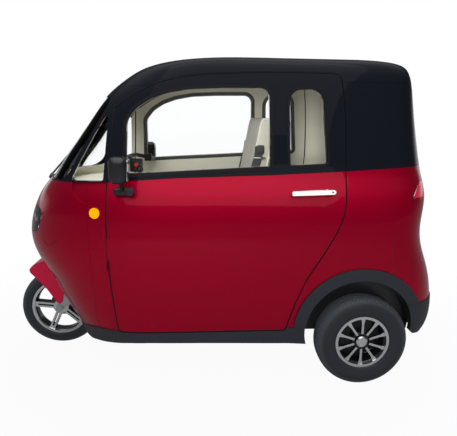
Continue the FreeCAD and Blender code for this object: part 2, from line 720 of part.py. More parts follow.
LEAF = [
    ("rear_axle_y - 172", "306"), ("rear_axle_y - 40", LEAF_TOP), ("rear_axle_y + 40", LEAF_TOP),
    ("rear_axle_y + 328", "306"), ("rear_axle_y + 328", "322"), ("rear_axle_y + 40", LEAF_TOP + " + 20"),
    ("rear_axle_y - 40", LEAF_TOP + " + 20"), ("rear_axle_y - 172", "322"),
]
HANGER_TOP = "rear_floor_height - 40.3"
springs = []
for side, middle in (("left", "rail_x"), ("right", "-rail_x")):
    spring = body_of("rear_spring_" + side)
    pad(spring, "leaf", "YZ_Plane", LEAF, middle + " - spring_width / 2", "spring_width")
    for name, y in (("front_hanger", "rear_axle_y - 160"), ("rear_hanger", "rear_axle_y + 316")):
        corners = [(y + " - 12", "310"), (y + " + 12", "310"), (y + " + 12", HANGER_TOP), (y + " - 12", HANGER_TOP)]
        pad(spring, name, "YZ_Plane", corners, middle + " - 8", "16")
    springs.append(spring)
register("rear_springs", together("rear_springs", springs))

# Reflectors and the wiper
reflector = rod((300, -588, 870), (far, -588, 870), 24).common(cabin(-6)).cut(CABIN[-fit])
keep("side_reflectors", both_sides(reflector))
wiper = rod((60, -912, 985), (-190, -815, 1150), 5).fuse(rod((60, -875, 965), (60, -915, 986), 15))
wiper = wiper.cut(CABIN[-fit])
keep("windscreen_wiper", wiper)

# Steering, built upright with the steering axis as Z, ahead towards -Y, and then leaned back
steering_place = Placement(foot, Rotation(Vector(1, 0, 0), -size("rake_deg")))
AXLE_AHEAD = "((axis_y - front_axle_y) * cos(rake_deg * 1deg))"
AXLE_ALONG = "(-(axis_y - front_axle_y) * sin(rake_deg * 1deg))"
LEG_OUTLINE = [
    ("-18", "-12"), ("-24", "12"), ("-18", "90"), ("-16", "leg_length"), ("18", "leg_length"), ("16", "150"),
    ("34", "96"), ("42", "40"), ("22", "14"), ("10", "-20"), ("-8", "-22"),
]
fork_body = body_of("steering_fork_legs")
leg_corners = [("%s - %s" % (u, AXLE_AHEAD), "%s + %s" % (v, AXLE_ALONG)) for u, v in LEG_OUTLINE]
pad(fork_body, "left_leg", "YZ_Plane", leg_corners, "leg_x", "leg_thickness")
pad(fork_body, "right_leg", "YZ_Plane", leg_corners, "-leg_x - leg_thickness", "leg_thickness")
fork_parts = [
    fork_body,
    cylinder("steering_column", "column_radius", "column_length - crown_height", z="crown_height"),
    cylinder("front_axle", "front_axle_radius", "2 * leg_x + 2 * leg_thickness + 16",
             "-leg_x - leg_thickness - 8", "-" + AXLE_AHEAD, AXLE_ALONG, lying=True),
    cylinder("axle_nut", "2 * front_axle_radius + 4", "7", "leg_x + leg_thickness", "-" + AXLE_AHEAD, AXLE_ALONG, True),
    box("fork_crown", "2 * leg_x + 2 * leg_thickness", "column_radius + 40", "20",
        "-leg_x - leg_thickness", "-" + AXLE_AHEAD + " - 16", "crown_height - 3"),
    box("brake_caliper", "leg_thickness + 3", "46", "52", "-leg_x - leg_thickness", "30 - " + AXLE_AHEAD, "34"),
]
fork = fused("steering_fork", fork_parts)
fork.Placement = steering_place
register("steering_fork", fork)

GUARD = [
    (-1064, 455, 16), (-1040, 484, 60), (-984, 504, 80), (-915, 525, 120), (-840, 528, 100), (-770, 505, 80),
    (-716, 440, 60), (-700, 380, 10), (-760, 372, 40), (-856, 350, 40), (-884, 300, 40), (-892, 262, 10),
    (-908, 248, 12), (-921, 262, 10), (-946, 300, 60), (-972, 340, 80), (-1004, 378, 100), (-1034, 412, 80),
    (-1056, 436, 16),
]
GUARD_ROOM = [
    (-1200, 430, 4), (-1031, 467, 60), (-984, 502, 80), (-915, 525, 120), (-840, 528, 100), (-770, 505, 80),
    (-716, 440, 60), (-600, 380, 10), (-600, 100, 0), (-1200, 100, 0),
]
guard_x = size("guard_half_width")
guard_t = size("guard_thickness")
guard = across(GUARD, -guard_x, guard_x).cut(across(GUARD_ROOM, guard_t - guard_x, guard_x - guard_t, guard_t))
guard = guard.cut(axis_rod(200, 500, column_r + fit))
keep("front_mudguard", guard)

# The handlebar: a tube through the points of BAR, which tell how far out to the side,
# how far ahead and how far up each lies from the top of the column.
BAR = [(0, 0, 0), (50, 0, 0), (120, -20, 10), (200, -75, 14), (315, -105, 6)]
bar_s = size("column_length")
bar_r, grip_r = size("bar_radius"), size("grip_radius")
switch = size("switch_box_size")
bar = None
for side in (1, -1):
    nodes = [on_axis(bar_s + bar_r + fit + rise, ahead, side * x) for x, ahead, rise in BAR]
    for a, b in zip(nodes, nodes[1:]):
        piece = Part.makeCylinder(bar_r, (b - a).Length, a, b - a)
        bar = piece if bar is None else bar.fuse(piece)
        bar = bar.fuse(Part.makeSphere(bar_r, b))
    bar = bar.fuse(Part.makeCylinder(grip_r, size("grip_length"), nodes[-1], nodes[-2] - nodes[-1]))
    middle = nodes[-2] * 0.75 + nodes[-1] * 0.25
    bar = bar.fuse(Part.makeBox(switch, switch, switch, middle - Vector(switch, switch, switch) / 2))
bar = bar.cut(axis_rod(bar_s - 60, bar_s + fit, column_r + fit))
keep("handlebar", bar)


# Wheels, each about the X axis with its outer side towards +X
def tyre(name, radius, width, rim):
    """A tyre: half of its section in formulas, and the same half again on the other side."""
    half = [
        ("{w} / 2 - 12", "{rim} + tyre_fit"), ("{w} / 2 - 1", "{rim} + 16"), ("{w} / 2", "({r} + {rim}) / 2"),
        ("{w} / 2 - 8", "{r} - 14"), ("{w} / 2 - 26", "{r}"),
    ]
    half = [(u.format(w=width), v.format(r=radius, rim=rim)) for u, v in half]
    other = [("-(%s)" % u, v) for u, v in reversed(half)]
    body = body_of(name)
    turn_round(body, "section", half + other)
    round_edges(body, "shoulders", "12", lambda edge: edge.Curve.Radius > size(rim) + 10)
    return body


def rim_barrel(body, rim, width):
    """The ring that carries the tyre, with a bright lip on each side."""
    half = [
        ("{w} / 2", "{r} - rim_lip"), ("{w} / 2", "{r}"), ("-{w} / 2", "{r}"), ("-{w} / 2", "{r} - rim_lip"),
        ("rim_lip - {w} / 2", "{r} - rim_lip - 2"), ("rim_lip + 6 - {w} / 2", "{r} - rim_lip - 7"),
        ("{w} / 2 - rim_lip - 6", "{r} - rim_lip - 7"), ("{w} / 2 - rim_lip", "{r} - rim_lip - 2"),
    ]
    turn_round(body, "barrel", [(u.format(w=width), v.format(r=rim)) for u, v in half])


def rear_wheel(side, across_car, turn):
    rim = body_of("rear_rim_" + side)
    rim_barrel(rim, "rear_rim_radius", "rear_rim_width")
    outer = "rear_rim_radius - rim_lip - 1"
    corners = [
        ("-spoke_width / 2", "rear_hub_radius - 6"), ("-spoke_width / 2", "rear_rim_radius - 40"),
        ("-spoke_width", outer), ("spoke_width", outer),
        ("spoke_width / 2", "rear_rim_radius - 40"), ("spoke_width / 2", "rear_hub_radius - 6"),
    ]
    spoke = pad(rim, "spoke", "YZ_Plane", corners, "24", "18")
    repeat(rim, "spokes", [spoke], "rear_spoke_count")
    hub = [
        ("-35", "0"), ("-35", "rear_hub_radius - 6"), ("20", "rear_hub_radius"), ("30", "rear_hub_radius"),
        ("30", "hub_cap_radius"), ("44", "hub_cap_radius"), ("48", "hub_cap_radius - 6"), ("48", "0"),
    ]
    turn_round(rim, "hub", hub)
    bore(rim, "axle_bore", "-60", "axle_end + 0.5", "axle_radius + axle_fit")
    rubber = tyre("rear_tyre_" + side, "rear_tyre_radius", "rear_tyre_width", "rear_rim_radius")
    for name, body in (("rear_rim_" + side, rim), ("rear_tyre_" + side, rubber)):
        body.Placement = Placement(Vector(0, 0, 0), Rotation(Vector(0, 0, 1), turn))
        set_place(body, across_car, "rear_axle_y", "rear_tyre_radius")
        register(name, body)


rear_wheel("left", "rear_wheel_x", 0)
rear_wheel("right", "-rear_wheel_x", 180)

front_rim = body_of("front_rim")
rim_barrel(front_rim, "front_rim_radius", "front_rim_width")
bars = []
for name, middle in (("bar_ahead", "bar_spread"), ("bar_behind", "-bar_spread")):
    left_edge, right_edge = middle + " - bar_width / 2", middle + " + bar_width / 2"
    inner, outer = "front_hub_radius - 12", "front_rim_radius - rim_lip - 1"
    corners = [(left_edge, inner), (left_edge, outer), (right_edge, outer), (right_edge, inner)]
    bars.append(pad(front_rim, name, "YZ_Plane", corners, "-20", "47"))
corners = [("-bar_spread", "front_rim_radius - 30"), ("-bar_spread - 8", "front_rim_radius - rim_lip - 1"),
           ("bar_spread + 8", "front_rim_radius - rim_lip - 1"), ("bar_spread", "front_rim_radius - 30")]
bars.append(pad(front_rim, "bar_foot", "YZ_Plane", corners, "-20", "47"))
repeat(front_rim, "bars", bars, "front_pair_count")
hub = [
    ("-38", "0"), ("-38", "disc_radius"), ("-34", "disc_radius"), ("-34", "26"), ("-20", "26"),
    ("-20", "front_hub_radius"), ("22", "front_hub_radius"), ("27", "front_hub_radius - 6"), ("27", "24"),
    ("36", "22"), ("36", "0"),
]
turn_round(front_rim, "hub", hub)
bore(front_rim, "axle_bore", "-60", "60", "front_axle_radius + axle_fit")
front_tyre = tyre("front_tyre", "front_tyre_radius", "front_tyre_width", "front_rim_radius")
for name, body in (("front_rim", front_rim), ("front_tyre", front_tyre)):
    body.Placement = Placement(Vector(0, 0, 0), Rotation(Vector(1, 0, 0), size("front_rim_turn_deg")))
    set_place(body, "0", "front_axle_y", "front_tyre_radius")
    register(name, body)

doc.recompute()
for obj in doc.Objects:
    if "Invalid" in obj.State or "Error" in obj.State:
        raise RuntimeError("%s came out wrong: %s" % (obj.Label, obj.State))
for name, piece in PIECES.items():
    if piece.Shape.isNull() or not piece.Shape.isValid():
        raise RuntimeError("sub-part %s has no sound shape" % name)
os.makedirs("parts", exist_ok=True)
for name, piece in PIECES.items():
    piece.Shape.exportStep("parts/%s.step" % name)
    print(name, len(piece.Shape.Solids), round(piece.Shape.Volume / 1e6, 2))
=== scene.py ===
"""The looks of a small three wheeled car with a cabin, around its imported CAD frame.

Metres; the front of the car towards -Y, its left side towards +X, the ground at zero.
"""
import math

import bmesh
import bpy
from mathutils import Matrix, Vector
from mathutils.bvhtree import BVHTree


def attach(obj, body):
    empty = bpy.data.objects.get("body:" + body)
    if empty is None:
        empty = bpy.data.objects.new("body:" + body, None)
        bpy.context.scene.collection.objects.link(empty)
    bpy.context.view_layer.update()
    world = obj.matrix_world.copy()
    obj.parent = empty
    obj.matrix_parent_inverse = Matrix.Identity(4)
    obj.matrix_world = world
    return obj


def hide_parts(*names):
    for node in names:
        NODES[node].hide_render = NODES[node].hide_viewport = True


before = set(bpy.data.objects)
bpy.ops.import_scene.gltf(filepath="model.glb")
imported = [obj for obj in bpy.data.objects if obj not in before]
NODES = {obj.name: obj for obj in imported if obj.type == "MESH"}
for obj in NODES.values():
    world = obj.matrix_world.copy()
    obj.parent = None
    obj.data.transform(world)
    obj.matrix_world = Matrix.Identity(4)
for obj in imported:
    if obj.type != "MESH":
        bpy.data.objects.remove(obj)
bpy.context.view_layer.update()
SIDES = (("left", 1), ("right", -1))

# The camera of the photo, as fitted to it: place in metres, turns in radians, lens in millimetres.
CAMERA_PLACE = (2.6294, -0.103, 1.3042)
CAMERA_YAW = -0.059
CAMERA_PITCH = 0.211
CAMERA_ROLL = 0.015
CAMERA_LENS = 37.02
SENSOR_WIDTH = 36
CAMERA_REACH = 60

# Wheels, from the CAD model: the centre of each, and how far out its turned faces start.
REAR_HUB = (0.481, 0.692, 0.228)
REAR_FACE = 0.0412
FRONT_HUB = (0.0, -0.911, 0.221)
FRONT_FACE = 0.0265


def rear_hub(sign):
    """The centre of the rear wheel on one side."""
    return (sign * REAR_HUB[0], *REAR_HUB[1:])


def make_camera():
    """A camera at the photo's place, with the photo's turn and lens."""
    data = bpy.data.cameras.new("camera")
    camera = bpy.data.objects.new("camera", data)
    bpy.context.scene.collection.objects.link(camera)
    ahead = Vector((
        -math.cos(CAMERA_YAW) * math.cos(CAMERA_PITCH),
        -math.sin(CAMERA_YAW) * math.cos(CAMERA_PITCH),
        -math.sin(CAMERA_PITCH),
    ))
    level = ahead.cross(Vector((0, 0, 1))).normalized()
    raised = level.cross(ahead)
    right = math.cos(CAMERA_ROLL) * level + math.sin(CAMERA_ROLL) * raised
    up = math.cos(CAMERA_ROLL) * raised - math.sin(CAMERA_ROLL) * level
    turn = Matrix((right, up, -ahead)).transposed()
    camera.matrix_world = Matrix.Translation(CAMERA_PLACE) @ turn.to_4x4()
    data.lens = CAMERA_LENS
    data.sensor_width = SENSOR_WIDTH
    data.clip_end = CAMERA_REACH
    bpy.context.scene.camera = camera


# Shaders

GRAIN_DETAIL = 4
CLOUD_SCALE = 7.0
FLAKE_SCALE = 1400.0
FLAKE_RANGE = (0.1, 0.7)
FLAKE_ROUGHNESS = 0.04  # either side of the paint's own
LEATHER_SCALE = 260.0
LEATHER_CLOUDS = 5.0
TURNED_SCALE = 900.0
TURNED_EDGE = 0.0006
TURNED_COLOR = (0.78, 0.79, 0.80)
POCKET_COLOR = (0.006, 0.006, 0.007)
FLUTE_SCALE = 60.0
WORN_FROM = (0.86, 0.97)  # shares of a tyre's radius between which it turns grey
TYRE_COLOR = (0.02, 0.02, 0.02)
TYRE_SIDE_COLOR = (0.013, 0.0145, 0.018)
TYRE_CROWN_COLOR = (0.038, 0.042, 0.05)

# Where the cabin's lining turns black behind the headlamps: places along, and heights.
LAMP_BACK = (-0.78, -0.77)
LAMP_TOP = (0.89, 0.90)


class Nodes:
    """Short words for building a node tree."""

    def __init__(self, tree):
        self.tree = tree
        tree.nodes.clear()

    def node(self, kind, **inputs):
        made = self.tree.nodes.new(kind)
        for key, value in inputs.items():
            made.inputs[key.replace("_", " ")].default_value = value
        return made

    def link(self, start, end):
        self.tree.links.new(start, end)

    def place(self, center=(0, 0, 0)):
        """The surface's own place in metres, measured from a centre."""
        move = self.node("ShaderNodeMapping", Location=[-v for v in center])
        self.link(self.node("ShaderNodeTexCoord").outputs["Object"], move.inputs["Vector"])
        return move.outputs[0]

    def axes(self, vector):
        """A vector's parts, by the names X, Y and Z."""
        split = self.node("ShaderNodeSeparateXYZ")
        self.link(vector, split.inputs[0])
        return split.outputs

    def length(self, vector):
        made = self.node("ShaderNodeVectorMath")
        made.operation = "LENGTH"
        self.link(vector, made.inputs[0])
        return made.outputs["Value"]

    def off_axle(self, center):
        """How far the surface is from an axle that runs across the car through a centre."""
        flat = self.node("ShaderNodeVectorMath")
        flat.operation = "MULTIPLY"
        flat.inputs[1].default_value = (0, 1, 1)
        self.link(self.place(center), flat.inputs[0])
        return self.length(flat.outputs[0])

    def math(self, operation, *values):
        """One arithmetic step on numbers and outputs."""
        made = self.node("ShaderNodeMath")
        made.operation = operation
        for socket, value in zip(made.inputs, values):
            if isinstance(value, (int, float)):
                socket.default_value = value
            else:
                self.link(value, socket)
        return made.outputs[0]

    def spread(self, value, start, end, low=0.0, high=1.0, interpolation="LINEAR"):
        """The value's range from start to end, moved to low to high."""
        made = self.node(
            "ShaderNodeMapRange", From_Min=start, From_Max=end, To_Min=low, To_Max=high,
        )
        made.interpolation_type = interpolation
        self.link(value, made.inputs["Value"])
        return made.outputs[0]

    def cells(self, scale):
        """Small cells all over: how far each spot is from the middle of its own."""
        made = self.node("ShaderNodeTexVoronoi", Scale=scale)
        self.link(self.place(), made.inputs["Vector"])
        return made.outputs["Distance"]

    def two_colors(self, share, first, second):
        made = self.node("ShaderNodeMix")
        made.data_type = "RGBA"
        made.inputs["A"].default_value = (*first, 1)
        made.inputs["B"].default_value = (*second, 1)
        self.link(share, made.inputs["Factor"])
        return made.outputs["Result"]

    def two_shaders(self, share, first, second):
        made = self.node("ShaderNodeMixShader")
        for value, socket in zip((share, first, second), made.inputs):
            self.link(value, socket)
        return made.outputs[0]

    def seen(self):
        """One where the camera looks, also through a solid lens, and nought for other rays."""
        rays = self.node("ShaderNodeLightPath").outputs
        return self.math("MAXIMUM", rays["Is Camera Ray"], rays["Is Transmission Ray"])


def grain_group():
    """Fine grain for a bump, and a roughness that wanders a little over the surface."""
    group = bpy.data.node_groups.new("fine grain", "ShaderNodeTree")
    for name, value in (("Scale", 600.0), ("Roughness", 0.5), ("Spread", 0.05)):
        socket = group.interface.new_socket(name, in_out="INPUT", socket_type="NodeSocketFloat")
        socket.default_value = value
    for name in ("Height", "Roughness"):
        group.interface.new_socket(name, in_out="OUTPUT", socket_type="NodeSocketFloat")
    made = Nodes(group)
    given = made.node("NodeGroupInput").outputs
    asked = made.node("NodeGroupOutput").inputs
    place = made.node("ShaderNodeTexCoord").outputs["Object"]
    grain = made.node("ShaderNodeTexNoise", Detail=GRAIN_DETAIL)
    made.link(place, grain.inputs["Vector"])
    made.link(given["Scale"], grain.inputs["Scale"])
    made.link(grain.outputs["Fac"], asked["Height"])
    cloud = made.node("ShaderNodeTexNoise", Scale=CLOUD_SCALE)
    made.link(place, cloud.inputs["Vector"])
    middle = made.math("SUBTRACT", cloud.outputs["Fac"], 0.5)
    wander = made.math("MULTIPLY_ADD", middle, given["Spread"], given["Roughness"])
    made.link(wander, asked["Roughness"])
    return group


GRAIN = grain_group()


class Shader(Nodes):
    """One material, built around one Principled shader."""

    def __init__(self, name, color, **inputs):
        self.material = bpy.data.materials.new(name)
        self.material.use_nodes = True
        super().__init__(self.material.node_tree)
        self.output = self.node("ShaderNodeOutputMaterial")
        self.base = self.node("ShaderNodeBsdfPrincipled", Base_Color=(*color, 1), **inputs)
        self.finish(self.base.outputs[0])

    def finish(self, shader):
        self.link(shader, self.output.inputs["Surface"])

    def into(self, output, name):
        self.link(output, self.base.inputs[name])

    def bump(self, height, strength, distance):
        made = self.node("ShaderNodeBump", Strength=strength, Distance=distance)
        self.link(height, made.inputs["Height"])
        self.into(made.outputs[0], "Normal")

    def grain(self, scale, roughness, spread=0.06, strength=0.15, distance=0.0004):
        """Moulded grain on the whole surface, with a roughness that wanders."""
        made = self.node("ShaderNodeGroup")
        made.node_tree = GRAIN
        for name, value in (("Scale", scale), ("Roughness", roughness), ("Spread", spread)):
            made.inputs[name].default_value = value
        self.into(made.outputs["Roughness"], "Roughness")
        self.bump(made.outputs["Height"], strength, distance)


def car_paint(name, color, deep, metallic, roughness, coat=1.2):
    """A flake coat with cells of slightly different colour, under a clear coat."""
    made = Shader(
        name, color, Metallic=metallic, Specular_IOR_Level=0.02, Coat_Weight=1.0,
        Coat_Roughness=0.015, Coat_IOR=coat,
    )
    cells = made.cells(FLAKE_SCALE)
    made.into(made.two_colors(made.spread(cells, *FLAKE_RANGE), color, deep), "Base Color")
    smooth, rough = roughness - FLAKE_ROUGHNESS, roughness + FLAKE_ROUGHNESS
    made.into(made.spread(cells, *FLAKE_RANGE, smooth, rough), "Roughness")
    return made.material


def moulded(name, color, roughness, scale=650.0, strength=0.15, **inputs):
    """Plastic, rubber or painted steel with its moulded or sprayed grain."""
    made = Shader(name, color, **inputs)
    made.grain(scale, roughness, strength=strength)
    return made.material


def bare_metal(name, color, roughness):
    """Cast or turned metal with a fine wandering polish."""
    made = Shader(name, color, Metallic=1.0)
    made.grain(220.0, roughness, spread=0.1, strength=0.04)
    return made.material


def thin_glass(name, tint, ior=1.4):
    """A thin pane: clear straight through, with a mirror's share at low angles."""
    made = Shader(name, tint)
    made.tree.nodes.remove(made.base)
    share = made.node("ShaderNodeFresnel", IOR=ior).outputs[0]
    clear = made.node("ShaderNodeBsdfTransparent", Color=(*tint, 1)).outputs[0]
    shine = made.node("ShaderNodeBsdfGlossy", Color=(1, 1, 1, 1), Roughness=0.0).outputs[0]
    made.finish(made.two_shaders(share, clear, shine))
    return made.material


def lens_plastic(name, color):
    """Coloured lens plastic with fine upright flutes."""
    made = Shader(name, color, Roughness=0.12, Coat_Weight=0.6, Coat_Roughness=0.03)
    waves = made.node("ShaderNodeTexWave", Scale=FLUTE_SCALE)
    waves.bands_direction = "Y"
    made.link(made.place(), waves.inputs["Vector"])
    made.bump(waves.outputs["Fac"], 0.25, 0.001)
    return made.material


def machined_wheel(name, center, face):
    """Bright turned metal on the outer faces of a wheel, gloss black in its pockets.

    Face is how far out from the centre the turned faces start, along the axle.
    """
    made = Shader(name, (0.5, 0.5, 0.5))
    reach = made.math("ABSOLUTE", made.axes(made.place(center))["X"])
    bright = made.spread(reach, face - TURNED_EDGE, face)
    rings = made.node("ShaderNodeTexNoise", Scale=TURNED_SCALE)
    rings.noise_dimensions = "1D"
    made.link(made.off_axle(center), rings.inputs["W"])
    made.bump(rings.outputs["Fac"], 0.1, 0.0002)
    made.into(made.two_colors(bright, POCKET_COLOR, TURNED_COLOR), "Base Color")
    made.into(bright, "Metallic")
    made.into(made.spread(bright, 0, 1, 0.25, 0.3), "Roughness")
    return made.material


def tyre_rubber(name, center):
    """Tyre rubber, greyer on the worn crown than on its sides.

    The wheel stands on the ground, so the height of its centre is the tyre's radius.
    """
    start, end = (share * center[2] for share in WORN_FROM)
    made = Shader(name, TYRE_COLOR, Specular_IOR_Level=0.35)
    crown = made.spread(made.off_axle(center), start, end)
    made.grain(420.0, 0.55, spread=0.12, strength=0.2)
    made.into(made.two_colors(crown, TYRE_SIDE_COLOR, TYRE_CROWN_COLOR), "Base Color")
    return made.material


def cabin_lining(name, color, dark):
    """The cabin's lining, black where it closes the lamps from behind."""
    made = Shader(name, color)
    place = made.axes(made.place())
    ahead = made.spread(place["Y"], *LAMP_BACK, 1, 0)
    low = made.spread(place["Z"], *LAMP_TOP, 1, 0)
    made.into(made.two_colors(made.math("MULTIPLY", ahead, low), color, dark), "Base Color")
    made.grain(420.0, 0.6, strength=0.2)
    return made.material


def seat_leather(name, color, deep):
    """Soft grained covering: cells of grain, with a slow change of tone."""
    made = Shader(name, color, Specular_IOR_Level=0.35, Sheen_Weight=0.15, Sheen_Roughness=0.5)
    cells = made.cells(LEATHER_SCALE)
    cloud = made.node("ShaderNodeTexNoise", Scale=LEATHER_CLOUDS)
    made.link(made.place(), cloud.inputs["Vector"])
    made.into(made.two_colors(cloud.outputs["Fac"], color, deep), "Base Color")
    made.into(made.spread(cells, 0, 0.6, 0.62, 0.5), "Roughness")
    made.bump(cells, 0.25, 0.0006)
    return made.material


BEIGE_COLOR = (0.80, 0.77, 0.64)
RED = car_paint("red paint", (0.41, 0.0005, 0.023), (0.32, 0.0005, 0.018), 0.75, 0.40)
BLACK = car_paint("black paint", (0.006, 0.007, 0.010), (0.004, 0.005, 0.008), 0.0, 0.35, 1.14)
GUARD_RED = moulded(
    "mudguard red", (0.32, 0.003, 0.026), 0.42, 900.0, 0.03,
    Specular_IOR_Level=0.2, Coat_Weight=0.15, Coat_Roughness=0.2,
)
DARK = moulded("dark plastic", (0.016, 0.017, 0.022), 0.5, Specular_IOR_Level=0.3)
TRIM = moulded("black trim", (0.008, 0.008, 0.009), 0.3, 500.0, 0.05)
STEEL = moulded("chassis paint", (0.012, 0.012, 0.013), 0.5, 260.0, 0.1)
BEIGE = moulded("beige trim", BEIGE_COLOR, 0.6, 420.0, 0.2)
RUBBER = moulded("window rubber", (0.006, 0.006, 0.007), 0.5, 700.0, 0.05, Specular_IOR_Level=0.12)
GREY_RUBBER = moulded("grey rubber", (0.07, 0.07, 0.068), 0.6, 500.0, 0.1)
STRAP = moulded("belt webbing", (0.05, 0.05, 0.05), 0.8, 900.0, 0.4)
LINING = cabin_lining("cabin lining", BEIGE_COLOR, (0.01, 0.01, 0.011))
LEATHER = seat_leather("seat cover", (0.56, 0.54, 0.45), (0.50, 0.48, 0.39))
PIPING = moulded("seat piping", (0.72, 0.69, 0.60), 0.5, 700.0, 0.1)
ALUMINIUM = bare_metal("cast aluminium", (0.55, 0.56, 0.57), 0.38)
# Painted reflection: the door handles are chrome, and this near-white, mostly diffuse colour
# stands in for their bright reflection of a white surround
HANDLE = moulded("bright handle", (0.92, 0.93, 0.93), 0.22, 700.0, 0.02, Metallic=0.3)
CHROME = bare_metal("chrome", (0.85, 0.86, 0.87), 0.07)
MIRROR = bare_metal("mirror glass", (0.8, 0.82, 0.84), 0.02)
CLEAR = thin_glass("clear glass", (0.995, 1.0, 1.0), 1.15)
LENS = thin_glass("lamp lens", (0.98, 0.98, 0.99))
RED_LENS = lens_plastic("red lens", (0.5, 0.012, 0.03))
AMBER_LENS = lens_plastic("amber lens", (0.9, 0.33, 0.0))
BUTTON_RED = moulded("button red", (0.7, 0.01, 0.02), 0.3, 500.0, 0.02)


def dress(material, *names):
    """Gives CAD nodes their finish."""
    for name in names:
        mesh = NODES[name].data
        mesh.materials.clear()
        mesh.materials.append(material)


def left_and_right(*names):
    """The names of the left and the right node of each kind."""
    return [name + "_" + side for name in names for side, _ in SIDES]


dress(RED, "nose_panel", "front_fenders", "rear_body", *left_and_right("door_panel"))
dress(BLACK, "roof_panel", "cab_frame", *left_and_right("door_frame"))
dress(DARK, "sills", "arch_flares", "rear_bumper")
dress(
    TRIM, "handlebar", "windscreen_wiper", "front_wheel_well", "wheel_housings",
    *left_and_right("door_mirror"),
)
dress(STEEL, "floor_pan", "rear_axle", "rear_springs", "battery_block", "plate_carrier")
dress(ALUMINIUM, "steering_fork")
dress(LINING, "cabin_liner")
dress(BEIGE, "dashboard", *left_and_right("door_card"))
dress(LEATHER, "driver_seat", "rear_bench")
dress(HANDLE, *left_and_right("door_handle"))
dress(CLEAR, "cabin_windows", *left_and_right("door_glass"))
dress(LENS, "headlamps")
dress(RED_LENS, "tail_lamps")
dress(AMBER_LENS, "side_reflectors")
dress(GUARD_RED, "front_mudguard")
dress(machined_wheel("front wheel finish", FRONT_HUB, FRONT_FACE), "front_rim")
for side, sign in SIDES:
    finish = machined_wheel("rear wheel finish " + side, rear_hub(sign), REAR_FACE)
    dress(finish, "rear_rim_" + side)


# Making pieces

SHARP_ANGLE = math.radians(35)


def add_piece(name, mesh, material, body):
    """Makes a finished bmesh a named piece that moves with a body."""
    bmesh.ops.recalc_face_normals(mesh, faces=mesh.faces)
    data = bpy.data.meshes.new(name)
    mesh.to_mesh(data)
    mesh.free()
    data.materials.append(material)
    data.shade_smooth()
    data.set_sharp_from_angle(angle=SHARP_ANGLE)
    made = bpy.data.objects.new(name, data)
    bpy.context.scene.collection.objects.link(made)
    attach(made, body)
    return made


def add_both(name, build, material, body):
    """Makes the piece for the left side and its mirror image for the right one.

    A body named "door" stands for the door of each side.
    """
    made = []
    for side, sign in SIDES:
        mesh = build()
        bmesh.ops.scale(mesh, vec=(sign, 1, 1), verts=mesh.verts)
        rides_on = "door_" + side if body == "door" else body
        made.append(add_piece(name + "_" + side, mesh, material, rides_on))
    return made


def with_neighbours(ring):
    """Each item of a closed ring, between the one before it and the one after it."""
    return zip(ring[-1:] + ring[:-1], ring, ring[1:] + ring[:1])


def closed_loop(mesh, verts):
    """The edges of a closed loop through these vertices."""
    return [mesh.edges.new(pair) for pair in zip(verts, verts[1:] + verts[:1])]


def extrude(mesh, faces, move):
    """Gives faces a thickness, by a copy of them that is moved."""
    made = bmesh.ops.extrude_face_region(mesh, geom=faces)
    copied = [part for part in made["geom"] if isinstance(part, bmesh.types.BMVert)]
    bmesh.ops.translate(mesh, vec=move, verts=copied)


def joined(parts):
    """Several bmeshes as one."""
    whole = bmesh.new()
    for part in parts:
        data = bpy.data.meshes.new("part")
        part.to_mesh(data)
        part.free()
        whole.from_mesh(data)
    return whole


def spun(section, steps, center, closed=True):
    """A solid of revolution about an axle that runs across the car through a centre.

    The section is pairs: along the axle, away from it. A closed one makes a ring. An open
    one starts and ends on the axle, and makes a disc.
    """
    mesh = bmesh.new()
    corners = [mesh.verts.new((across, 0, away)) for across, away in section]
    if closed:
        edges = closed_loop(mesh, corners)
    else:
        edges = [mesh.edges.new(pair) for pair in zip(corners, corners[1:])]
    bmesh.ops.spin(
        mesh, geom=corners + edges, cent=(0, 0, 0), axis=(1, 0, 0), angle=2 * math.pi,
        steps=steps, use_merge=True,
    )
    if not closed:
        bmesh.ops.remove_doubles(mesh, verts=mesh.verts, dist=0.00001)
    bmesh.ops.translate(mesh, vec=center, verts=mesh.verts)
    return mesh


def bar_along(points, radius, cyclic=False):
    """A round bar along a smooth line through these points, as a bmesh."""
    curve = bpy.data.curves.new("bar", "CURVE")
    curve.dimensions = "3D"
    curve.bevel_depth = radius
    curve.bevel_resolution = 3
    curve.resolution_u = 6
    curve.use_fill_caps = not cyclic
    spline = curve.splines.new("NURBS")
    spline.points.add(len(points) - 1)
    for point, place in zip(spline.points, points):
        point.co = (*place, 1)
    spline.order_u = 3
    spline.use_endpoint_u = not cyclic
    spline.use_cyclic_u = cyclic
    helper = bpy.data.objects.new("bar", curve)
    mesh = bmesh.new()
    mesh.from_mesh(bpy.data.meshes.new_from_object(helper))
    bpy.data.objects.remove(helper)
    return mesh


def box_of(low, high, rounding, segments=3):
    """A box between two corners, with its edges rounded."""
    mesh = bmesh.new()
    size = Vector(high) - Vector(low)
    middle = (Vector(high) + Vector(low)) / 2
    form = Matrix.Translation(middle) @ Matrix.Diagonal((*size, 1))
    bmesh.ops.create_cube(mesh, size=1, matrix=form)
    bmesh.ops.bevel(
        mesh, geom=mesh.edges, offset=rounding, segments=segments, profile=0.5,
        affect="EDGES", material=-1,
    )
    return mesh


# The car's surfaces, for the trim that lies on them

LEFTMOST = 0.9  # further to the left than any part of the body
FOREMOST = -1.4  # further ahead than any part of the body
EDGE_STEP = 0.03
CORNER_SEGMENTS = 8


def tree_of(*names):
    """The surfaces of some CAD nodes, for finding places on them."""
    whole = bmesh.new()
    for name in names:
        whole.from_mesh(NODES[name].data)
    return BVHTree.FromBMesh(whole)


LEFT_SKIN = tree_of(
    "nose_panel", "front_fenders", "rear_body", "roof_panel", "cab_frame", "door_panel_left",
    "door_frame_left",
)
LEFT_CARD = tree_of("door_card_left")
LENSES = tree_of("headlamps")


def on_skin(y, z):
    """The place on the left of the car's skin at a distance along and a height."""
    return LEFT_SKIN.ray_cast(Vector((LEFTMOST, y, z)), Vector((-1, 0, 0)))[0]


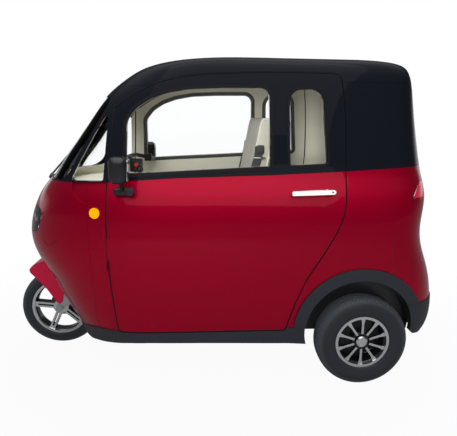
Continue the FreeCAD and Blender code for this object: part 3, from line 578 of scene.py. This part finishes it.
def on_card(y, z):
    """The place on the inside of the left door's card at a distance along and a height."""
    return LEFT_CARD.ray_cast(Vector((0, y, z)), Vector((1, 0, 0)))[0]


def line_on_skin(path, radius):
    """A thin bar that lies on the left of the skin through places along and up."""
    return bar_along([on_skin(y, z) for y, z in path], radius)


def round_outline(mesh, corners):
    """A face to the left of the car, with short edges, from its corners.

    Each corner is its place along, its height and the radius that rounds it.
    """
    verts = [mesh.verts.new((LEFTMOST, y, z)) for y, z, _ in corners]
    mesh.faces.new(verts)
    for corner, (_, _, radius) in zip(verts, corners):
        sides = [edge.other_vert(corner).co - corner.co for edge in corner.link_edges]
        half = sides[0].angle(sides[1]) / 2
        cut = min(radius / math.tan(half), 0.45 * min(side.length for side in sides))
        bmesh.ops.bevel(
            mesh, geom=[corner], offset=cut, segments=CORNER_SEGMENTS, profile=0.5,
            affect="VERTICES", material=-1,
        )
    for edge in list(mesh.edges):
        cuts = int(edge.calc_length() / EDGE_STEP)
        if cuts:
            bmesh.ops.subdivide_edges(mesh, edges=[edge], cuts=cuts)
    mesh.faces.ensure_lookup_table()
    return mesh.faces[0]


def band_round(corners, near, far, thick, surface):
    """A flat band round a window, from near to far outside the window's outline.

    It lies on a surface of the left door, on_skin or on_card. It is as thick towards the
    left as the number says, or towards the right where that is less than nought.
    """
    mesh = bmesh.new()
    face = round_outline(mesh, corners)
    ring = list(face.verts)
    rings = []
    for offset in (near, (near + far) / 2, far):
        moved = []
        for before, here, after in with_neighbours(ring):
            out = (after.co - before.co).normalized().cross(face.normal)
            place = here.co + out * offset
            moved.append(mesh.verts.new(surface(place.y, place.z)))
        rings.append(closed_loop(mesh, moved))
    bmesh.ops.delete(mesh, geom=ring, context="VERTS")
    for first, second in zip(rings, rings[1:]):
        bmesh.ops.bridge_loops(mesh, edges=first + second)
    extrude(mesh, mesh.faces, (thick, 0, 0))
    return mesh


# Tyres, in millimetres: half of each section from the bead to the middle of the tread

REAR_TYRE = [
    (48, 134.3), (50, 139), (53, 141), (56.5, 150), (59.3, 163), (60.8, 176), (60.2, 184),
    (60.8, 185.5), (60, 188), (57.5, 201), (53.5, 211), (49, 217.5), (43, 222.5), (35, 225.3),
    (34, 220.5), (30, 220.8), (29, 226.5), (14, 227.7), (13, 222.5), (9, 222.6), (8, 227.9),
]
FRONT_TYRE = [
    (36, 160.3), (37.5, 164), (39.5, 166), (41.2, 174), (41.9, 184), (41.2, 190), (41.8, 191.5),
    (41, 194), (38.5, 203), (34, 211), (28, 216), (19, 219), (18, 215.5), (15, 215.7),
    (14, 219.8), (4, 220.9), (3, 217.5),
]
TYRE_STEPS = 200
NOTCH_EDGE = 0.0006

# In metres: the radii between which each tyre's shoulder is notched, and the notches' depth.
REAR_SHOULDER = (0.2115, 0.2252)
REAR_NOTCH = 0.003
FRONT_SHOULDER = (0.206, 0.2182)
FRONT_NOTCH = 0.0025


def make_tyre(half_section, center, shoulder, notch):
    """A tyre with grooves round it, and notches in the shoulder of its tread."""
    right = [(across / 1000, away / 1000) for across, away in half_section]
    left = [(-across, away) for across, away in reversed(right)]
    mesh = spun(right + left, TYRE_STEPS, center)
    low, high = shoulder
    notches = []
    for face in mesh.faces:
        spot = face.calc_center_median() - Vector(center)
        step = math.floor(math.atan2(spot.z, spot.y) / (2 * math.pi) * TYRE_STEPS)
        if low < math.hypot(spot.y, spot.z) < high and step % 2 == 0:
            notches.append(face)
    bmesh.ops.inset_individual(mesh, faces=notches, thickness=NOTCH_EDGE, depth=-notch)
    return mesh


for side, sign in SIDES:
    hub = rear_hub(sign)
    tyre = add_piece(
        "rear_tyre_tread_" + side, make_tyre(REAR_TYRE, hub, REAR_SHOULDER, REAR_NOTCH),
        tyre_rubber("rear tyre rubber " + side, hub), "rear_wheel_" + side,
    )
    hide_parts("rear_tyre_" + side)
front_tyre = add_piece(
    "front_tyre_tread", make_tyre(FRONT_TYRE, FRONT_HUB, FRONT_SHOULDER, FRONT_NOTCH),
    tyre_rubber("front tyre rubber", FRONT_HUB), "front_wheel",
)
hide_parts("front_tyre")


# Rubbers round the two windows of each door, outside on the skin and inside on the card

DOOR_WINDOW = [
    (-0.448, 1.045, 0.010), (-0.442, 1.285, 0.050), (-0.400, 1.338, 0.090),
    (-0.340, 1.378, 0.150), (-0.262, 1.407, 0.200), (-0.160, 1.426, 0.250),
    (-0.014, 1.434, 0.400), (0.205, 1.438, 0.042), (0.217, 1.084, 0.010),
]
REAR_DOOR_WINDOW = [
    (0.311, 1.088, 0.010), (0.299, 1.430, 0.055), (0.452, 1.438, 0.060), (0.484, 1.100, 0.010),
]

# Each band: its name, the window, from where to where outside it, thickness, surface, finish.
BANDS = (
    ("door_window_rubber", DOOR_WINDOW, 0.0007, 0.016, 0.0025, on_skin, RUBBER),
    ("rear_window_rubber", REAR_DOOR_WINDOW, 0.0007, 0.014, 0.0025, on_skin, RUBBER),
    ("door_window_inner_ring", DOOR_WINDOW, 0.001, 0.019, -0.004, on_card, GREY_RUBBER),
    ("door_window_inner_lip", DOOR_WINDOW, 0.0195, 0.0225, -0.0025, on_card, RUBBER),
    ("rear_window_inner_ring", REAR_DOOR_WINDOW, 0.001, 0.019, -0.004, on_card, GREY_RUBBER),
    ("rear_window_inner_lip", REAR_DOOR_WINDOW, 0.0195, 0.0225, -0.0025, on_card, RUBBER),
)
for name, corners, near, far, thick, surface, material in BANDS:
    add_both(
        name, lambda: band_round(corners, near, far, thick, surface),
        material, "door",
    )


# Lines pressed into the panels, drawn as thin dark bars on the skin: painted shade in the pressed
# lines, creases and a recess's edge, partly dark seams. How thick, and their places along and up

PANEL_LINES = {
    "rear_body_lines": (0.0007, [
        [(0.800, 0.782), (0.808, 0.690), (0.824, 0.640), (0.832, 0.590)],
        [(0.770, 0.612), (0.800, 0.621), (0.821, 0.627)],
    ]),
    "pillar_lines": (0.0008, [
        [(0.578, 1.110), (0.572, 1.301), (0.566, 1.440)],
        [(0.590, 1.120), (0.586, 1.301), (0.580, 1.440)],
    ]),
    "fender_lines": (0.0007, [
        [(-0.631, 0.744), (-0.629, 0.683), (-0.627, 0.595), (-0.623, 0.523)],
    ]),
    "nose_lines": (0.0012, [
        [
            (-0.868, 0.705), (-0.857, 0.692), (-0.841, 0.689), (-0.820, 0.697),
            (-0.796, 0.710), (-0.781, 0.726),
        ],
    ]),
    "nose_crease": (0.0007, [
        [(-0.771, 0.449), (-0.724, 0.444), (-0.669, 0.443), (-0.650, 0.446), (-0.637, 0.448)],
        [(-0.600, 0.455), (-0.583, 0.459), (-0.542, 0.468)],
    ]),
}
# Each bar paints the shade of a pressed line onto the skin, which has no groove there; only the
# bars on real seams are dark joints
for name, (radius, paths) in PANEL_LINES.items():
    add_both(
        name, lambda: joined(line_on_skin(path, radius) for path in paths),
        RUBBER, "body",
    )


# Lamps: a bright line round the rear one, and what shows behind the front one's lens

TAIL_LAMP_RIM = [
    (0.990, 0.9405), (0.940, 0.9405), (0.893, 0.940), (0.915, 0.974), (0.946, 1.0185),
    (0.990, 1.0185),
]
add_both(
    "tail_lamp_rim", lambda: line_on_skin(TAIL_LAMP_RIM, 0.002), CHROME, "body",
)

# Rings in the left lamp: how far from its middle, and how deep under the lens.
LAMP_CENTER = (0.252, 0.787)
LAMP_STEPS = 48
LAMP_BOWL = [
    (0.007, 0.0150), (0.018, 0.0150), (0.032, 0.0130), (0.043, 0.0080), (0.047, 0.0045),
    (0.049, 0.0060), (0.034, 0.0150), (0.020, 0.0165), (0.007, 0.0165),
]
LAMP_BULB = [
    (0.0005, 0.0060), (0.005, 0.0065), (0.008, 0.0090), (0.008, 0.0160), (0.0005, 0.0160),
]
LAMP_RING = [(0.050, 0.0030), (0.054, 0.0030), (0.054, 0.0120), (0.050, 0.0120)]


def in_lens(section):
    """A ring behind the left lens, which follows the lens's own curve."""
    mesh = bmesh.new()
    loops = []
    for radius, sink in section:
        verts = []
        for step in range(LAMP_STEPS):
            turn = 2 * math.pi * step / LAMP_STEPS
            across = LAMP_CENTER[0] + radius * math.cos(turn)
            up = LAMP_CENTER[1] + radius * math.sin(turn)
            hit = LENSES.ray_cast(Vector((across, FOREMOST, up)), Vector((0, 1, 0)))
            place, normal = hit[:2]
            verts.append(mesh.verts.new(place - normal * sink))
        loops.append(closed_loop(mesh, verts))
    for first, second in zip(loops, loops[1:] + loops[:1]):
        bmesh.ops.bridge_loops(mesh, edges=first + second)
    return mesh


add_both("headlamp_bowl", lambda: in_lens(LAMP_BOWL), CHROME, "body")
add_both("headlamp_bulb", lambda: in_lens(LAMP_BULB), PIPING, "body")
add_both("headlamp_ring", lambda: in_lens(LAMP_RING), TRIM, "body")


# Seats: padded pieces in the room of the CAD ones, sewn from front to back and piped round
# their sides

PAD_VOXEL = 0.009
SMOOTHINGS = 4
GROOVE_DEPTH = 0.007
GROOVE_WIDTH = 0.007
HOLLOW_SHARE = 0.55
HOLLOW_WIDTH = 0.03
ON_ROUNDING = 0.29  # how far in from its corner the middle of a rounded edge lies


def moved_in(outline, distance):
    """An outline of along and up, moved in by a distance. It runs anticlockwise."""
    made = []
    for before, here, after in with_neighbours(outline):
        first = (Vector(here) - Vector(before)).normalized()
        second = (Vector(after) - Vector(here)).normalized()
        inward = Vector((-first.y, first.x)) + Vector((-second.y, second.x))
        made.append(Vector(here) + inward * distance / (1 + first.dot(second)))
    return made


def pad_form(outline, half_width, rounding):
    """A block with rounded edges, from its side outline."""
    mesh = bmesh.new()
    side = mesh.faces.new([mesh.verts.new((-half_width, y, z)) for y, z in outline])
    extrude(mesh, [side], (2 * half_width, 0, 0))
    bmesh.ops.recalc_face_normals(mesh, faces=mesh.faces)
    bmesh.ops.bevel(
        mesh, geom=mesh.edges, offset=rounding, segments=5, profile=0.5, affect="EDGES",
        material=-1,
    )
    return mesh


def sew(mesh, seam):
    """Presses a groove in a wider hollow into a pad, at a distance either side of its middle."""
    shifts = []
    for vert in mesh.verts:
        near = abs(abs(vert.co.x) - seam)
        groove = math.exp(-(near / GROOVE_WIDTH) ** 2)
        hollow = HOLLOW_SHARE * math.exp(-(near / HOLLOW_WIDTH) ** 2)
        shifts.append(vert.normal * (-GROOVE_DEPTH * (groove + hollow)))
    for vert, shift in zip(mesh.verts, shifts):
        vert.co += shift


def add_pad(name, outline, half_width, rounding, seam):
    """A stuffed pad with two sewn grooves."""
    mesh = pad_form(outline, half_width, rounding)
    pad = add_piece(name, mesh, LEATHER, "body")
    voxels = pad.modifiers.new("voxels", "REMESH")
    voxels.mode = "VOXEL"
    voxels.voxel_size = PAD_VOXEL
    remeshed = pad.evaluated_get(bpy.context.evaluated_depsgraph_get())
    fine = bpy.data.meshes.new_from_object(remeshed)
    pad.modifiers.clear()
    pad.data = fine
    mesh = bmesh.new()
    mesh.from_mesh(fine)
    for _ in range(SMOOTHINGS):
        bmesh.ops.smooth_vert(
            mesh, verts=mesh.verts, factor=0.5, use_axis_x=True, use_axis_y=True, use_axis_z=True,
        )
    mesh.normal_update()
    sew(mesh, seam)
    bmesh.ops.recalc_face_normals(mesh, faces=mesh.faces)
    mesh.to_mesh(fine)
    mesh.free()
    fine.shade_smooth()
    return pad


def pad_piping(name, outline, half_width, rounding, radius):
    """Piping round both sides of a pad, on the middle of its rounded edges."""
    inset = rounding * ON_ROUNDING
    path = [(half_width - inset, y, z) for y, z in moved_in(outline, inset)]
    middle = []
    for first, second in zip(path, path[1:] + path[:1]):
        middle += [Vector(first).lerp(Vector(second), share) for share in (0.06, 0.5, 0.94)]
    add_both(name, lambda: bar_along(middle, radius, True), PIPING, "body")


# Each pad's outline from the side, along and up, with its half width and its rounding.
CUSHION = ([(-0.328, 0.482), (0.148, 0.482), (0.148, 0.583), (-0.316, 0.618)], 0.288, 0.030)
BACK = (
    [(0.064, 0.594), (0.150, 0.587), (0.270, 1.296), (0.240, 1.304), (0.188, 1.304)], 0.283, 0.022,
)
BENCH_CUSHION = ([(0.472, 0.562), (0.868, 0.562), (0.876, 0.638), (0.472, 0.657)], 0.375, 0.026)
BENCH_BACK = ([(0.882, 0.602), (0.938, 0.602), (0.958, 1.078), (0.902, 1.078)], 0.375, 0.020)
SEAT_SEAM = 0.155
BENCH_SEAM = 0.13

add_pad("seat_cushion", *CUSHION, SEAT_SEAM)
back = add_pad("seat_back", *BACK, SEAT_SEAM)
pad_piping("seat_cushion_piping", *CUSHION, 0.004)
pad_piping("seat_back_piping", *BACK, 0.0055)
seat_box = box_of((-0.27, -0.255, 0.272), (0.27, 0.168, 0.480), 0.012)
add_piece("seat_box", seat_box, BEIGE, "body")
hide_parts("driver_seat")
bench = add_pad("bench_cushion", *BENCH_CUSHION, BENCH_SEAM)
add_pad("bench_back", *BENCH_BACK, BENCH_SEAM)
bench_box = box_of((-0.30, 0.505, 0.452), (0.30, 0.925, 0.560), 0.012)
add_piece("bench_box", bench_box, BEIGE, "body")
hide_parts("rear_bench")
pad_piping("bench_cushion_piping", *BENCH_CUSHION, 0.004)


# Seat belt: the strap down from the seat's side, the guide that holds it and the guide's ring

STRAP_PATH = [
    (0.300, 0.182, 1.165), (0.300, 0.180, 1.120), (0.300, 0.162, 1.060), (0.298, 0.130, 0.900),
    (0.296, 0.105, 0.700),
]
STRAP_MIDDLE = 0.298
STRAP_HALF_WIDTH = 0.022
STRAP_FLATNESS = 0.08


def belt_strap():
    """A flat strap: a bar along the belt's way, pressed flat across the car."""
    mesh = bar_along(STRAP_PATH, STRAP_HALF_WIDTH)
    for vert in mesh.verts:
        vert.co.x = STRAP_MIDDLE + (vert.co.x - STRAP_MIDDLE) * STRAP_FLATNESS
    return mesh


add_both("belt_strap", belt_strap, STRAP, "body")
add_both(
    "belt_guide", lambda: box_of((0.291, 0.166, 1.128), (0.309, 0.207, 1.172), 0.009),
    STRAP, "body",
)
add_both(
    "belt_ring", lambda: box_of((0.289, 0.152, 1.104), (0.311, 0.214, 1.114), 0.004),
    CHROME, "body",
)


# The red strip of the rear body between the door and the arch, down to the sill

ARCH_CENTER = (0.674, 0.283)
ARCH_OUTER = 0.3268
DOOR_REAR = [(0.310, 0.283), (0.347, 0.419), (0.397, 0.551)]
STRIP_BOTTOM = 0.3005
STRIP_TOP = 0.4246
STRIP_GAP = 0.0006
STRIP_THICK = 0.016
DOOR_SKIN_AT = 0.27  # a place along the door, just ahead of the strip


def rear_strip():
    """A plate as thick as the panel, whose outline follows the door and the arch."""
    mesh = bmesh.new()
    bmesh.ops.create_grid(mesh, x_segments=4, y_segments=16, size=1)
    for vert in mesh.verts:
        share, rise = (vert.co.x + 1) / 2, (vert.co.y + 1) / 2
        z = STRIP_BOTTOM + (STRIP_TOP - STRIP_BOTTOM) * rise
        part = 1 if z > DOOR_REAR[1][1] else 0
        (y1, z1), (y2, z2) = DOOR_REAR[part:part + 2]
        start = y1 + (y2 - y1) * (z - z1) / (z2 - z1) + STRIP_GAP
        end = ARCH_CENTER[0] - math.sqrt(ARCH_OUTER ** 2 - (z - ARCH_CENTER[1]) ** 2)
        vert.co = (on_skin(DOOR_SKIN_AT, z).x, start + (end - start) * share, z)
    extrude(mesh, mesh.faces, (-STRIP_THICK, 0, 0))
    return mesh


add_both("rear_body_strip", rear_strip, RED, "body")


# The dark seal in the gap round each door, from the door's corners along, up and their radius

DOOR = [
    (-0.505, 0.276, 0.025), (-0.526, 0.498, 0.4), (-0.538, 0.711, 0.5), (-0.539, 0.915, 0.5),
    (-0.536, 1.000, 0.3), (-0.526, 1.100, 0.4), (-0.516, 1.250, 0.4), (-0.508, 1.345, 0.014),
    (-0.483, 1.357, 0.014), (-0.417, 1.404, 0.2), (-0.326, 1.450, 0.3), (-0.222, 1.481, 0.4),
    (-0.093, 1.498, 0.5), (0.103, 1.509, 0.5), (0.300, 1.514, 0.5), (0.538, 1.514, 0.042),
    (0.552, 1.420, 0.06), (0.564, 1.300, 0.4), (0.575, 1.060, 0.4), (0.573, 0.940, 0.2),
    (0.563, 0.872, 0.2), (0.537, 0.795, 0.3), (0.474, 0.681, 0.3), (0.397, 0.551, 0.3),
    (0.347, 0.419, 0.3), (0.310, 0.283, 0.014),
]
SEAL_IN = 0.0035
SEAL_DEPTH = 0.0065
SEAL_RADIUS = 0.0036


def door_seal():
    """A round seal in the middle of the gap, a little under the skin.

    The skin's depth is taken further in, on the door, where no gap is in the way.
    """
    mesh = bmesh.new()
    face = round_outline(mesh, DOOR)
    ring = [vert.co.copy() for vert in face.verts]
    middle = []
    for before, here, after in with_neighbours(ring):
        inward = face.normal.cross((after - before).normalized())
        beside = here + inward * 3 * SEAL_IN
        across = on_skin(beside.y, beside.z).x - SEAL_DEPTH
        middle.append(Vector((across, here.y + inward.y * SEAL_IN, here.z + inward.z * SEAL_IN)))
    mesh.free()
    return bar_along(middle, SEAL_RADIUS, True)


add_both("door_seal", door_seal, RUBBER, "door")


# Dark plates: one across the back of the wheel arches, inside the bumper, and one behind
# each rear wheel for its brake

splash = box_of((-0.44, 0.985, 0.255), (0.44, 0.993, 0.420), 0.003, 2)
add_piece("splash_plate", splash, TRIM, "body")

BRAKE_PLATE = [(-0.003, 0.06), (0.003, 0.06), (0.003, 0.134), (-0.003, 0.138)]
BRAKE_ACROSS = 0.408
for side, sign in SIDES:
    plate = spun(BRAKE_PLATE, 72, (sign * BRAKE_ACROSS, *REAR_HUB[1:]))
    add_piece("brake_plate_" + side, plate, STEEL, "body")


# Mirrors, door locks and the handlebar's switches

ARM_PATH = [(0.528, -0.452, 0.975), (0.562, -0.452, 0.998), (0.592, -0.455, 1.035)]


def mirror_shell():
    """The rounded head, its foot on the door and the arm between them, as one piece."""
    return joined([
        box_of((0.556, -0.497, 1.019), (0.6545, -0.4165, 1.135), 0.028, 6),
        box_of((0.482, -0.496, 0.955), (0.548, -0.406, 0.989), 0.012, 5),
        bar_along(ARM_PATH, 0.011),
    ])


shells = add_both("mirror_shell", mirror_shell, TRIM, "door")
for shell, (side, _) in zip(shells, SIDES):
    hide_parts("door_mirror_" + side)
add_both(
    "mirror_glass", lambda: box_of((0.570, -0.4180, 1.034), (0.642, -0.4148, 1.122), 0.0012),
    MIRROR, "door",
)
KNOB = [(-0.016, 0), (-0.016, 0.014), (-0.012, 0.017), (0.012, 0.017), (0.016, 0.014), (0.016, 0)]
add_both(
    "mirror_knob", lambda: spun(KNOB, 40, (0.543, -0.420, 0.973), closed=False),
    DARK, "door",
)
LOCK = [(-0.004, 0), (-0.004, 0.0045), (0.0003, 0.0042), (0.0005, 0)]
add_both(
    "door_lock", lambda: spun(LOCK, 24, (0.5378, 0.497, 0.976), closed=False),
    DARK, "door",
)
switch_box = box_of((0.232, -0.458, 1.032), (0.284, -0.396, 1.096), 0.010, 4)
add_piece("switch_box", switch_box, DARK, "steering")
BUTTON = [(-0.003, 0), (-0.003, 0.0105), (0.004, 0.0095), (0.0055, 0.006), (0.006, 0)]
button = spun(BUTTON, 32, (0.285, -0.424, 1.067), closed=False)
add_piece("stop_button", button, BUTTON_RED, "steering")


# The stage

FLOOR_HALF = 30
FLOOR_FADE = (1.0, 2.4)  # metres from the car's middle where the floor turns wholly white
FLOOR_WHITE = (0.95, 1.0)

# The room round the car, by the direction that a ray takes, sideways or up.
WALL_SIDE = (-0.15, -0.5)
WALL_TOP = (0.02, 0.16)
CEILING_RISE = (0.35, 0.9)
CEILING = (0.04, 0.75)
LIGHT_RISE = (-0.2, 0.9)
LIGHT = (0.3, 1.1)

# Name, place, what it points at, size, power, and whether reflections show it.
LAMPS = (
    ("ceiling light", (2.0, 0.0, 3.9), (0.3, 0, 0.9), (3.4, 7.0), 95, True),
    ("window light", (4.2, -0.6, 1.9), (-0.4, 0.2, 1.1), (0.8, 2.0), 125, False),
    ("far light", (-3.2, 0.6, 3.0), (0, 0, 0.8), (2.5, 4.0), 90, False),
)


def area_light(name, place, target, size, power, mirrored):
    data = bpy.data.lights.new(name, "AREA")
    data.shape = "RECTANGLE"
    data.size, data.size_y = size
    data.energy = power
    made = bpy.data.objects.new(name, data)
    made.location = place
    made.rotation_euler = (Vector(target) - Vector(place)).to_track_quat("-Z", "Y").to_euler()
    made.visible_glossy = mirrored
    bpy.context.scene.collection.objects.link(made)


def make_floor():
    """A floor that keeps the car's shadow, near white to the camera and grey to other rays."""
    mesh = bmesh.new()
    bmesh.ops.create_grid(mesh, x_segments=1, y_segments=1, size=FLOOR_HALF)
    data = bpy.data.meshes.new("floor")
    mesh.to_mesh(data)
    mesh.free()
    floor = bpy.data.objects.new("floor", data)
    bpy.context.scene.collection.objects.link(floor)
    made = Shader("floor", (0.22, 0.22, 0.225), Roughness=0.9, Specular_IOR_Level=0.1)
    white = made.node("ShaderNodeEmission", Color=(1, 1, 1, 1), Strength=1.0).outputs[0]
    share = made.spread(made.length(made.place()), *FLOOR_FADE, *FLOOR_WHITE)
    seen = made.math("MULTIPLY", made.seen(), share)
    made.finish(made.two_shaders(seen, made.base.outputs[0], white))
    data.materials.append(made.material)


def make_world():
    """White to the camera. It lights the car softly from all round, more from above, and
    reflections show a white wall behind the car and a dim room in front of it."""
    world = bpy.data.worlds.new("studio")
    bpy.context.scene.world = world
    world.use_nodes = True
    made = Nodes(world.node_tree)
    way = made.axes(made.node("ShaderNodeTexCoord").outputs["Generated"])
    wall = made.spread(way["X"], *WALL_SIDE, 0.0, 1.0, "SMOOTHSTEP")
    low = made.spread(way["Z"], *WALL_TOP, 1.0, 0.0, "SMOOTHSTEP")
    ceiling = made.spread(way["Z"], *CEILING_RISE, *CEILING, "SMOOTHSTEP")
    mirrored = made.math("MAXIMUM", ceiling, made.math("MULTIPLY", wall, low))
    soft = made.spread(way["Z"], *LIGHT_RISE, *LIGHT, "SMOOTHSTEP")
    strength = made.node("ShaderNodeMix")
    glossy = made.node("ShaderNodeLightPath").outputs["Is Glossy Ray"]
    made.link(glossy, strength.inputs["Factor"])
    made.link(soft, strength.inputs["A"])
    made.link(mirrored, strength.inputs["B"])
    room = made.node("ShaderNodeBackground", Color=(0.98, 0.99, 1.0, 1))
    made.link(strength.outputs["Result"], room.inputs["Strength"])
    white = made.node("ShaderNodeBackground", Color=(1, 1, 1, 1), Strength=1.0)
    shown = made.two_shaders(made.seen(), room.outputs[0], white.outputs[0])
    made.link(shown, made.node("ShaderNodeOutputWorld").inputs["Surface"])


make_camera()
make_floor()
make_world()
for lamp in LAMPS:
    area_light(*lamp)
bpy.context.scene.view_settings.view_transform = "Standard"
